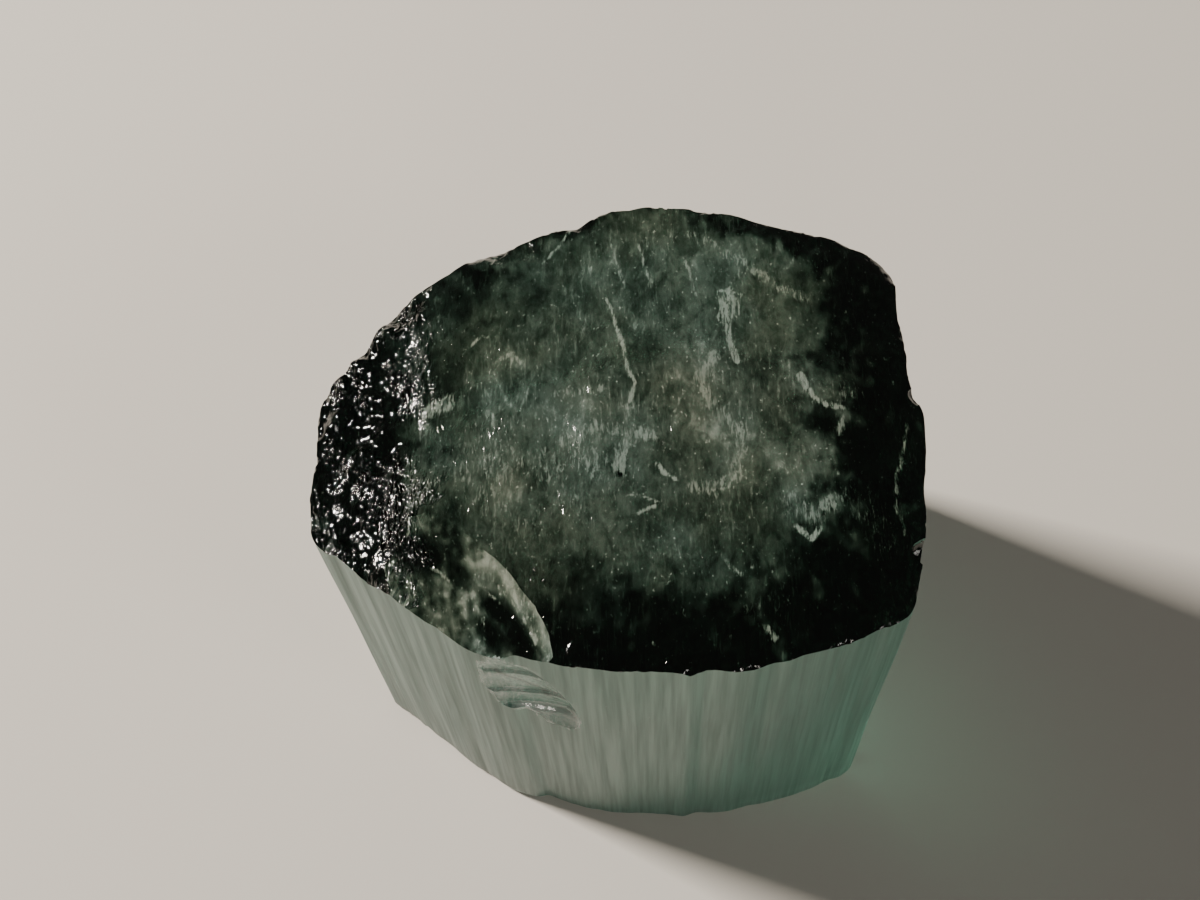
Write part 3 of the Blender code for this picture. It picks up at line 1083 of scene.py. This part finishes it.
def add_node(tree: Tree, kind: Kind, inputs: dict, out: str | None = None, **settings: object) -> Socket:
    """Adds one node to a tree, with its settings and links.

    Args:
        tree: the tree it goes in.
        kind: what the node does.
        inputs: socket name or number to a value, or to the socket that feeds it.
        out: name of the socket that is wanted from it, if not the kind's own.
        settings: its own properties, besides the kind's.

    Returns:
        That socket.
    """
    type_name, wanted, fixed = kind.value
    node = tree.nodes.new(type_name)
    for name, value in {**fixed, **settings}.items():
        setattr(node, name, value)
    for key, value in inputs.items():
        if isinstance(value, Socket):
            tree.links.new(value, node.inputs[key])
        else:
            node.inputs[key].default_value = value
    return node.outputs[out or wanted]


@dataclass(frozen=True)
class Pattern:
    """One noise in the finish: how long its humps are along X, Y and Z, in mm."""

    width: float
    length: float
    height: float
    detail: float = 2.0
    roughness: float = 0.5
    distortion: float = 0.0


@dataclass(frozen=True)
class Range:
    """Turns what lies between low and high to between least and most."""

    low: float = 0.0
    high: float = 1.0
    least: float = 0.0
    most: float = 1.0

    def of(self, value: Socket) -> dict[str, Socket | float]:
        """What goes into the node that does it."""
        return {"Value": value, "From Min": self.low, "From Max": self.high,
                "To Min": self.least, "To Max": self.most}


@dataclass(frozen=True)
class Look:
    """Sockets with the colour, roughness and relief of one kind of surface."""

    colour: Socket
    roughness: Socket
    relief: Socket


@dataclass(frozen=True)
class Tourmaline:
    """Clear blue-green tourmaline, as it grew on the sides and broken on top.

    It lets much less light along its length than across, so its glassy
    broken end looks almost black over pale, silky green sides. Healed
    cracks and fluid veils under the end are milky.
    """

    side_clear: str = "8cb4a8"
    side_frosted: str = "74978d"
    # Colour of the painted shade towards the base and along the flake's upper edge.
    painted_shade_colour: str = "0b1411"
    # White of the flake's paler fresh break and of its painted highlights.
    fresh_break_and_highlight: str = "f4faf6"
    end_tones: tuple[tuple[float, str], ...] = (
        (0.00, "020302"),
        (0.18, "0a0f0b"),
        (0.36, "242d27"),
        (0.52, "4d5950"),
        (0.70, "7f8b82"),
        (1.00, "f4faf5"),
    )
    olive: str = "f1f3e4"
    cyan: str = "eafaf6"
    # Tourmaline bends light by 1.62 to 1.64. What it doesn't let through, its veils scatter.
    ior: float = 1.63
    transmission: float = 0.75
    reflectance: float = 0.30
    # Red is taken up first: green is left after a few mm and blue-green at thin edges.
    absorbed: tuple[float, float, float, float] = (0.04, 0.54, 0.40, 1.0)
    density: float = 60.0

    # Clouds of veils under the end, 0.4 by 0.8 mm, with wisps down to a hundredth of that.
    cloud: Pattern = Pattern(0.38, 0.76, 0.76, 6.0, 0.68, 0.9)
    cloud_spread: Range = Range(0.0, 0.5, 0.20, 0.62)
    cloudy_middle: float = 0.775
    # Flecks in them, 0.13 by 0.22 mm.
    fine: Pattern = Pattern(0.13, 0.22, 0.22, 4.0, 0.65)
    fine_share: float = 0.55
    # Hollow growth tubes. Real ones are 0.02 mm wide: these are 0.085 mm wide, so that they show.
    hair: Pattern = Pattern(0.085, 0.50, 0.50, 2.0, 0.60, 0.4)
    hair_shown: Range = Range(0.54, 0.72)
    # They stand in patches of 1.3 to 1.5 mm.
    hair_patch: Pattern = Pattern(1.3, 1.5, 1.5)
    hair_patch_shown: Range = Range(0.46, 0.62, 0.05, 0.22)
    # Bright dust of crushed crystal, in grains of 0.07 to 0.1 mm; in the dark parts of the end it stands for
    # painted glints.
    grit_and_glints: Pattern = Pattern(0.065, 0.11, 0.11, 1.0)
    grit_and_glints_shown: Range = Range(0.68, 0.78, 0.0, 0.34)
    bright_share: Range = Range(0.0, 0.3, 1.1, 1.0)
    # Splinters of 0.08 by 0.3 mm along the edges of cracks.
    tear: Pattern = Pattern(0.08, 0.32, 0.32, 4.0, 0.70, 0.5)
    end_tear: float = 3.6
    end_torn: Range = Range(0.50, 1.10)
    side_tear: float = 2.4
    side_torn: Range = Range(0.4, 0.9)
    milk_pull: float = 1.3
    torn_tone: float = 0.44
    torn_share: float = 0.26
    milk_share: float = 0.26
    # Etch pits of 0.2 by 0.4 mm: each mirrors the window from its own side, so the tip glitters.
    pit: Pattern = Pattern(0.18, 0.38, 0.38, 1.0, 0.50, 0.9)
    pitted_milk: float = 0.05
    # Growth zones 2.4 to 2.8 mm wide, some more olive and some more cyan.
    tint: Pattern = Pattern(2.4, 2.8, 2.8, 3.0)
    tint_shown: Range = Range(0.36, 0.62)
    # Growth striations about 0.16 mm apart and 7 mm long, which give the sides a silky sheen.
    silk: Pattern = Pattern(0.16, 0.16, 7.0, 3.0, 0.60)
    silk_shown: Range = Range(0.35, 0.65)

    end_roughness: Range = Range(0.3, 0.8, 0.04, 0.16)
    torn_roughness: Range = Range(0.40, 0.62, 0.0, 0.13)
    side_roughness: Range = Range(least=0.34, most=0.50)
    fresh_roughness: Range = Range(least=0.34, most=0.14)
    # Reliefs, in mm.
    cloud_relief: float = 0.012
    fine_relief: float = 0.005
    pit_relief: float = 0.25
    silk_relief: float = 0.007
    fresh_relief: Range = Range(least=0.02, most=0.003)

    def grains(self, tree: Tree, patterns: tuple[Pattern, ...]) -> list[Socket]:
        """Adds patterns to a tree, on the crystal's own axes.

        Args:
            tree: the tree they go in.
            patterns: the patterns.

        Returns:
            One socket for each, about 0.5 on the average.
        """
        place = add_node(tree, Kind.PLACE, {})
        made = []
        for rule in patterns:
            scaled = add_node(tree, Kind.SCALE, {"Vector": place, "Scale": (
                1 / MM / rule.width, 1 / MM / rule.length, 1 / MM / rule.height)})
            made.append(add_node(tree, Kind.NOISE, {
                "Vector": scaled, "Scale": 1.0, "Detail": rule.detail,
                "Roughness": rule.roughness, "Distortion": rule.distortion}))
        return made

    def torn(self, tree: Tree, tear: Socket, milk: Socket, contrast: float, shown: Range) -> Socket:
        """Tears up the edges of milky marks.

        Args:
            tree: the tree it goes in.
            tear: the pattern that tears them.
            milk: how milky they are.
            contrast: how much the pattern counts.
            shown: from where they show, and from where in full.

        Returns:
            How much of them is left.
        """
        torn = add_node(tree, Kind.MULTIPLY_ADD, {0: tear, 1: contrast, 2: -contrast / 2})
        torn = add_node(tree, Kind.MULTIPLY_ADD, {0: milk, 1: self.milk_pull, 2: torn})
        return add_node(tree, Kind.RANGE, shown.of(torn))

    def end_tone(self, tree: Tree, tone: Socket, milk: Socket, patterns: list[Socket]) -> Socket:
        """How pale the broken end is, with its clouds, hairs, grit and torn milky wisps.

        Args:
            tree: the tree it goes in.
            tone: from 0, black, to 1, pale.
            milk: how milky the wisps make it.
            patterns: the cloud, fine, hair, hair_patch, grit and tear patterns.

        Returns:
            The tone, from 0 to about 1.
        """
        cloud, fine, hair, hair_patch, grit_and_glints, tear = patterns
        hair = add_node(tree, Kind.RANGE, self.hair_shown.of(hair))
        hair_patch = add_node(tree, Kind.RANGE, self.hair_patch_shown.of(hair_patch))
        grit_and_glints = add_node(tree, Kind.RANGE, self.grit_and_glints_shown.of(grit_and_glints))
        spread = add_node(tree, Kind.RANGE, self.cloud_spread.of(tone))
        share = add_node(tree, Kind.RANGE, self.bright_share.of(tone))
        cloudy = add_node(tree, Kind.MULTIPLY_ADD, {0: fine, 1: self.fine_share, 2: cloud})
        cloudy = add_node(tree, Kind.SUBTRACT, {0: cloudy, 1: self.cloudy_middle})
        cloudy = add_node(tree, Kind.MULTIPLY_ADD, {0: cloudy, 1: spread, 2: tone})
        bright = add_node(tree, Kind.MULTIPLY_ADD, {0: hair, 1: hair_patch, 2: grit_and_glints})
        cloudy = add_node(tree, Kind.MULTIPLY_ADD, {0: bright, 1: share, 2: cloudy})
        torn = self.torn(tree, tear, milk, self.end_tear, self.end_torn)
        milky = add_node(tree, Kind.MULTIPLY_ADD, {0: torn, 1: self.torn_share, 2: self.torn_tone})
        milky = add_node(tree, Kind.MULTIPLY_ADD, {0: milk, 1: self.milk_share, 2: milky})
        return add_node(tree, Kind.MIX, {"Factor": torn, MIX_A: cloudy, MIX_B: milky})

    def end(self, tree: Tree, tone: Socket, milk: Socket, pitted: Socket) -> Look:
        """The broken end: dark glass with milky wisps, and pits that glitter.

        Args:
            tree: the tree it goes in.
            tone: from 0, black, to 1, pale.
            milk: how milky the wisps make it.
            pitted: how sharply pitted it is.

        Returns:
            Its look.
        """
        *patterns, pit, tint = self.grains(tree, (
            self.cloud, self.fine, self.hair, self.hair_patch, self.grit_and_glints, self.tear, self.pit, self.tint))
        cloud, fine, *_, tear = patterns
        end_tone = self.end_tone(tree, tone, milk, patterns)
        colours = add_node(tree, Kind.RAMP, {"Fac": end_tone})
        stops = colours.node.color_ramp.elements
        while len(stops) < len(self.end_tones):
            stops.new(0.5)
        for stop, (position, code) in zip(stops, self.end_tones):
            stop.position = position
            stop.color = linear(code)
        tint = add_node(tree, Kind.RANGE, self.tint_shown.of(tint))
        tint = add_node(tree, Kind.MIX_COLOUR, {
            "Factor": tint, MIX_COLOUR_A: linear(self.olive), MIX_COLOUR_B: linear(self.cyan)})
        colour = add_node(tree, Kind.TINT, {"Factor": 1.0, MIX_COLOUR_A: colours, MIX_COLOUR_B: tint})
        rough = add_node(tree, Kind.RANGE, self.end_roughness.of(end_tone))
        dulled = add_node(tree, Kind.RANGE, self.torn_roughness.of(tear))
        rough = add_node(tree, Kind.MULTIPLY_ADD, {0: dulled, 1: pitted, 2: rough})
        deep = add_node(tree, Kind.MULTIPLY_ADD, {0: milk, 1: self.pitted_milk, 2: pitted})
        pits = add_node(tree, Kind.MULTIPLY, {0: pit, 1: deep})
        relief = add_node(tree, Kind.MULTIPLY, {0: fine, 1: self.fine_relief})
        for part, height in ((pits, self.pit_relief), (cloud, self.cloud_relief)):
            relief = add_node(tree, Kind.MULTIPLY_ADD, {0: part, 1: height, 2: relief})
        return Look(colour, rough, relief)

    def side(self, tree: Tree, tone: Socket, milk: Socket, fresh: Socket) -> Look:
        """The grown sides: silky streaks that run up the crystal, and the flake's scar.

        Args:
            tree: the tree it goes in.
            tone: 1 on plain sides, less in painted shade at the base and along the flake's edge.
            milk: how white it is, on the flake's paler fresh break and its painted highlights.
            fresh: 1 where a flake came off and the break is glassy.

        Returns:
            Its look.
        """
        silk, tear, pit = self.grains(tree, (self.silk, self.tear, self.pit))
        frost = add_node(tree, Kind.RANGE, self.silk_shown.of(silk))
        torn = self.torn(tree, tear, milk, self.side_tear, self.side_torn)
        colour = add_node(tree, Kind.MIX_COLOUR, {
            "Factor": frost, MIX_COLOUR_A: linear(self.side_clear), MIX_COLOUR_B: linear(self.side_frosted)})
        # The flake's paler fresh break, and the painted highlights on its streaks.
        colour = add_node(tree, Kind.MIX_COLOUR, {
            "Factor": torn, MIX_COLOUR_A: colour, MIX_COLOUR_B: linear(self.fresh_break_and_highlight)})
        # Painted shade towards the base and along the flake's upper edge.
        colour = add_node(tree, Kind.MIX_COLOUR, {
            "Factor": tone, MIX_COLOUR_A: linear(self.painted_shade_colour), MIX_COLOUR_B: colour})
        rough = add_node(tree, Kind.RANGE, self.side_roughness.of(frost))
        glassy = add_node(tree, Kind.RANGE, self.fresh_roughness.of(milk))
        rough = add_node(tree, Kind.MIX, {"Factor": fresh, MIX_A: rough, MIX_B: glassy})
        relief = add_node(tree, Kind.MULTIPLY, {0: silk, 1: self.silk_relief})
        deep = add_node(tree, Kind.RANGE, self.fresh_relief.of(milk))
        broken = add_node(tree, Kind.MULTIPLY, {0: pit, 1: deep})
        relief = add_node(tree, Kind.MIX, {"Factor": fresh, MIX_A: relief, MIX_B: broken})
        return Look(colour, rough, relief)

    def material(self) -> bpy.types.Material:
        """Builds the material."""
        made = bpy.data.materials.new("tourmaline")
        made.use_nodes = True
        tree = made.node_tree
        shader = tree.nodes["Principled BSDF"].inputs
        shader["IOR"].default_value = self.ior
        shader["Transmission Weight"].default_value = self.transmission
        shader["Specular IOR Level"].default_value = self.reflectance
        marks = add_node(tree, Kind.MARK, {}, "Vector", attribute_name="marks")
        split = add_node(tree, Kind.SPLIT, {"Vector": marks}).node.outputs
        broken = add_node(tree, Kind.MARK, {}, attribute_name="broken")
        side, end = self.side(tree, *split), self.end(tree, *split)
        colour = add_node(tree, Kind.MIX_COLOUR, {
            "Factor": broken, MIX_COLOUR_A: side.colour, MIX_COLOUR_B: end.colour})
        rough = add_node(tree, Kind.MIX, {"Factor": broken, MIX_A: side.roughness, MIX_B: end.roughness})
        relief = add_node(tree, Kind.MIX, {"Factor": broken, MIX_A: side.relief, MIX_B: end.relief})
        normal = add_node(tree, Kind.BUMP, {"Height": relief, "Strength": 1.0, "Distance": MM})
        inside = add_node(tree, Kind.ABSORB, {"Color": self.absorbed, "Density": self.density})
        tree.links.new(colour, shader["Base Color"])
        tree.links.new(rough, shader["Roughness"])
        tree.links.new(normal, shader["Normal"])
        tree.links.new(inside, tree.nodes["Material Output"].inputs["Volume"])
        return made


# ---------------------------------------------------------------- studio


@dataclass(frozen=True)
class Lamp:
    """A square soft light that faces the crystal.

    It shines from azimuth, in degrees from +X to +Y, and from elevation, in
    degrees over the floor. Its side is in mm.
    """

    name: str
    azimuth: float
    elevation: float
    size: float
    watts: float
    colour: str


@dataclass
class Studio:
    """A pale floor, soft lights and a camera above the crystal."""

    floor_size: float = 1200.0
    floor_drop: float = 0.05
    floor_colour: str = "c9c5be"
    floor_roughness: float = 0.9

    image: tuple[int, int] = (1200, 900)
    focal_pixels: float = 1400.0
    nadir_pixel: Spot = (660.0, 1210.0)
    eye: tuple[float, float, float] = (0.675, -18.05, 44.3)
    sensor_width: float = 36.0
    nearest_and_farthest: Span = (1.0, 5000.0)

    light_distance: float = 320.0
    lamps: tuple[Lamp, ...] = (
        Lamp("window", 157.0, 41.0, 42.0, 2.25, "fff6ea"),
        Lamp("card", -35.0, 35.0, 70.0, 0.15, "f4f0ea"),
        Lamp("lamp", -92.0, 18.0, 60.0, 0.16, "fff6ea"),
    )
    room_colour: str = "e6e2dc"
    room_strength: float = 0.07

    def floor(self) -> None:
        """Lays the floor, of matt paper that shows no gloss, just under the base."""
        bm = bmesh.new()
        bmesh.ops.create_grid(bm, x_segments=1, y_segments=1, size=self.floor_size / 2 * MM)
        bmesh.ops.translate(bm, vec=(0.0, 0.0, -self.floor_drop * MM), verts=bm.verts)
        ground = link_piece("floor", bm)
        paper = bpy.data.materials.new("matt_paper")
        paper.use_nodes = True
        shader = paper.node_tree.nodes["Principled BSDF"].inputs
        shader["Base Color"].default_value = linear(self.floor_colour)
        shader["Roughness"].default_value = self.floor_roughness
        ground.data.materials.append(paper)

    def camera(self) -> None:
        """Sets the camera where the crystal is seen from above and in front.

        What lies straight under the eye is seen at nadir_pixel, outside the image.
        """
        middle = (self.image[0] / 2, self.image[1] / 2)
        down = Vector((
            (self.nadir_pixel[0] - middle[0]) / self.focal_pixels,
            -(self.nadir_pixel[1] - middle[1]) / self.focal_pixels,
            -1.0,
        )).normalized()
        across = (Vector((1.0, 0.0, 0.0)) - down * down.x).normalized()
        away = (-down).cross(across)
        turned = Matrix((across, away, -down)).to_4x4()
        lens = bpy.data.cameras.new("camera")
        lens.sensor_width = self.sensor_width
        lens.lens = self.sensor_width * self.focal_pixels / self.image[0]
        lens.clip_start, lens.clip_end = (
            distance * MM for distance in self.nearest_and_farthest)
        camera = bpy.data.objects.new("camera", lens)
        bpy.context.collection.objects.link(camera)
        camera.matrix_world = Matrix.Translation(Vector(self.eye) * MM) @ turned
        bpy.context.scene.camera = camera

    def lights(self) -> None:
        """Hangs the lights and fills the room with soft light."""
        for lamp in self.lamps:
            light = bpy.data.lights.new(lamp.name, "AREA")
            light.size = lamp.size * MM
            light.energy = lamp.watts
            light.color = linear(lamp.colour)[:3]
            holder = bpy.data.objects.new(lamp.name, light)
            bpy.context.collection.objects.link(holder)
            turn, rise = math.radians(lamp.azimuth), math.radians(lamp.elevation)
            outward = Vector((
                math.cos(rise) * math.cos(turn), math.cos(rise) * math.sin(turn), math.sin(rise)))
            holder.location = outward * self.light_distance * MM
            holder.rotation_euler = (-outward).to_track_quat("-Z", "Y").to_euler()
        room = bpy.data.worlds.new("room")
        room.use_nodes = True
        shader = room.node_tree.nodes["Background"].inputs
        shader["Color"].default_value = linear(self.room_colour)
        shader["Strength"].default_value = self.room_strength
        bpy.context.scene.world = room


# ---------------------------------------------------------------- building


def main() -> None:
    """Builds the crystal, its finish and the studio round it."""
    logging.basicConfig(level=logging.INFO, format="%(name)s: %(message)s")
    crystal = Crystal().build()
    TopTones().paint(crystal)
    crystal.data.materials.clear()
    crystal.data.materials.append(Tourmaline().material())
    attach(crystal, BODY)
    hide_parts(NODE)
    log.info("crystal: %d faces", len(crystal.data.polygons))
    studio = Studio()
    studio.floor()
    studio.camera()
    studio.lights()


if __name__ == "__main__":
    main()
